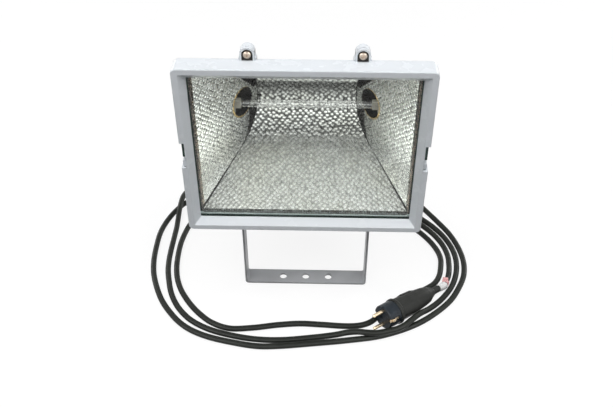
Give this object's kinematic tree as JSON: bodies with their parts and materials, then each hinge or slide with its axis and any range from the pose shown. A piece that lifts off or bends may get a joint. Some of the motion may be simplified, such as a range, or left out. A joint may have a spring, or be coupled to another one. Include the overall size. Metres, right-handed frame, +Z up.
{
  "type": "halogen floodlight",
  "caption": "Rectangular halogen floodlight with a hammered reflector and a tube lamp behind glass, on a U bracket, with a rubber cord and plug.",
  "frame": {"origin": "on the standing surface, at the middle of the bounding box of everything but the cord and its plug", "axes": "+X along the lamp, from the left to the right pivot as seen from the front; +Y from the glass to the back; +Z up"},
  "size_m": [0.4595, 0.3788, 0.3919],
  "materials": {
    "frame_coat": "gloss",
    "housing_coat": "gloss",
    "bracket_coat": "satin",
    "steel": "satin",
    "screw_steel": "polished",
    "reflector": "polished",
    "glass": "polished",
    "quartz": "polished",
    "ceramic": "matte",
    "tungsten": "satin",
    "gasket": "matte",
    "spring_steel": "polished",
    "brass": "satin",
    "cord_rubber": "satin",
    "boot_rubber": "matte",
    "gland_plastic": "matte",
    "plug_rubber": "matte",
    "insert_plastic": "satin",
    "lead_sleeving": "matte",
    "label_paper": "matte",
    "tag_paper": "matte"
  },
  "bodies": {
    "bracket": {"bracket": "bracket_coat", "pivot_bolt_left": "steel", "pivot_bolt_right": "steel", "pivot_washer_left": "steel", "pivot_washer_right": "steel", "cord_lead": "cord_rubber", "cord_loops": "cord_rubber", "plug_body": "plug_rubber", "plug_insert": "insert_plastic", "plug_pin_1": "brass", "plug_pin_2": "brass", "plug_earth_clip_1": "brass", "plug_earth_clip_2": "brass", "label_sleeve": "label_paper", "label_tag": "tag_paper"},
    "head": {"contact_spring_left": "spring_steel", "contact_spring_right": "spring_steel", "cover_screw_1": "screw_steel", "cover_screw_2": "screw_steel", "cover_screw_3": "screw_steel", "cover_screw_4": "screw_steel", "gland_body": "gland_plastic", "gland_boot": "boot_rubber", "gland_nut": "gland_plastic", "hinge_pin_left": "steel", "hinge_pin_right": "steel", "holder_bracket_left": "steel", "holder_bracket_right": "steel", "housing": "housing_coat", "lamp_cap_left": "ceramic", "lamp_cap_right": "ceramic", "lamp_filament": "tungsten", "lamp_holder_left": "ceramic", "lamp_holder_right": "ceramic", "lamp_tube": "quartz", "lead_left": "lead_sleeving", "lead_right": "lead_sleeving", "reflector_main": "reflector", "reflector_side_left": "reflector", "reflector_side_right": "reflector", "terminal_block": "ceramic", "terminal_box": "housing_coat", "terminal_cover": "housing_coat"},
    "glass_frame": {"front_frame": "frame_coat", "front_glass": "glass", "glass_gasket": "gasket", "glass_clip_1": "spring_steel", "glass_clip_2": "spring_steel", "glass_clip_3": "spring_steel", "glass_clip_4": "spring_steel", "frame_screw_left": "screw_steel", "frame_screw_right": "screw_steel"},
    "contact_left": {"contact_left": "brass"},
    "contact_right": {"contact_right": "brass"}
  },
  "joints": [
    {"name": "head_tilt", "type": "hinge", "parent": "bracket", "child": "head", "pos_m": [0, -0.014, 0.15], "axis": [-1, 0, 0], "range_deg": [-25, 90], "deforming": ["cord_lead"]},
    {"name": "frame_open", "type": "hinge", "parent": "head", "child": "glass_frame", "pos_m": [0, -0.0595, 0.1435], "axis": [1, 0, 0], "range_deg": [0, 90]},
    {"name": "contact_push_left", "type": "slide", "parent": "head", "child": "contact_left", "axis": [-1, 0, 0], "range_m": [0, 0.002], "stiffness_N_per_m": 1500, "springref_m": -0.004, "deforming": ["contact_spring_left"]},
    {"name": "contact_push_right", "type": "slide", "parent": "head", "child": "contact_right", "axis": [1, 0, 0], "range_m": [0, 0.002], "stiffness_N_per_m": 1500, "springref_m": -0.004, "deforming": ["contact_spring_right"]}
  ]
}
